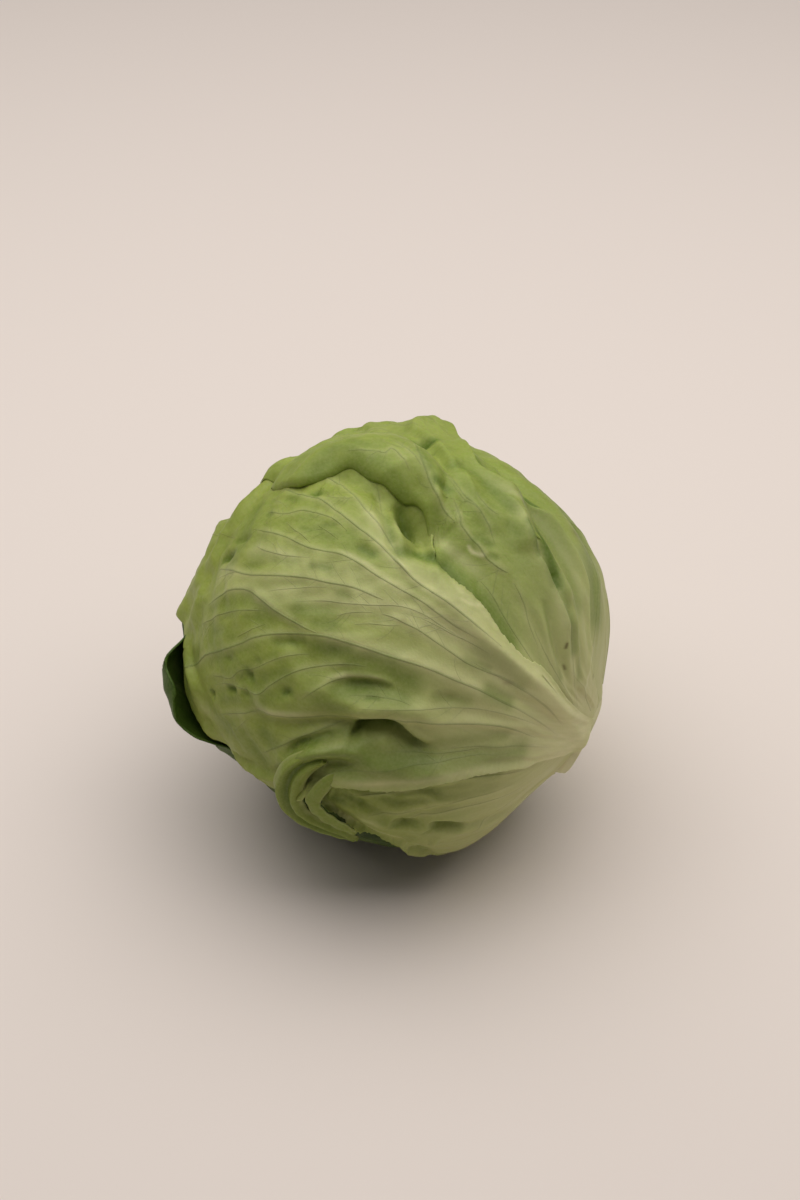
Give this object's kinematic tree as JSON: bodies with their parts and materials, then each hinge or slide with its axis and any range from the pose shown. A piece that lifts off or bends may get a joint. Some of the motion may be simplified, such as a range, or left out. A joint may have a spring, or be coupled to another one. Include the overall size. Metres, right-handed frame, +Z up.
{
  "type": "lettuce head",
  "caption": "Round crisp lettuce head lying on its side: overlapping ribbed outer leaves with waved edges wrap a dense heart and a short cut stem",
  "frame": {"origin": "centre of the bounding box's footprint, on the surface that the head lies on", "axes": "+Z up; +X towards the cut stem end, seen from above; -Y the side shown in the picture"},
  "size_m": [0.1549, 0.1522, 0.1501],
  "materials": {
    "heart": "moist pale green inner leaves",
    "stem": "dry cut cream flesh",
    "back_leaf": "satin waxy leaf",
    "under_leaf": "satin waxy leaf, darker green",
    "lower_leaf": "satin waxy leaf",
    "right_leaf": "satin waxy leaf",
    "top_leaf": "satin waxy leaf",
    "front_leaf": "satin waxy leaf"
  },
  "bodies": {
    "root": {"heart": "heart", "stem": "stem", "back_leaf": "back_leaf", "under_leaf": "under_leaf", "lower_leaf": "lower_leaf", "right_leaf": "right_leaf", "top_leaf": "top_leaf", "front_leaf": "front_leaf"}
  },
  "joints": []
}
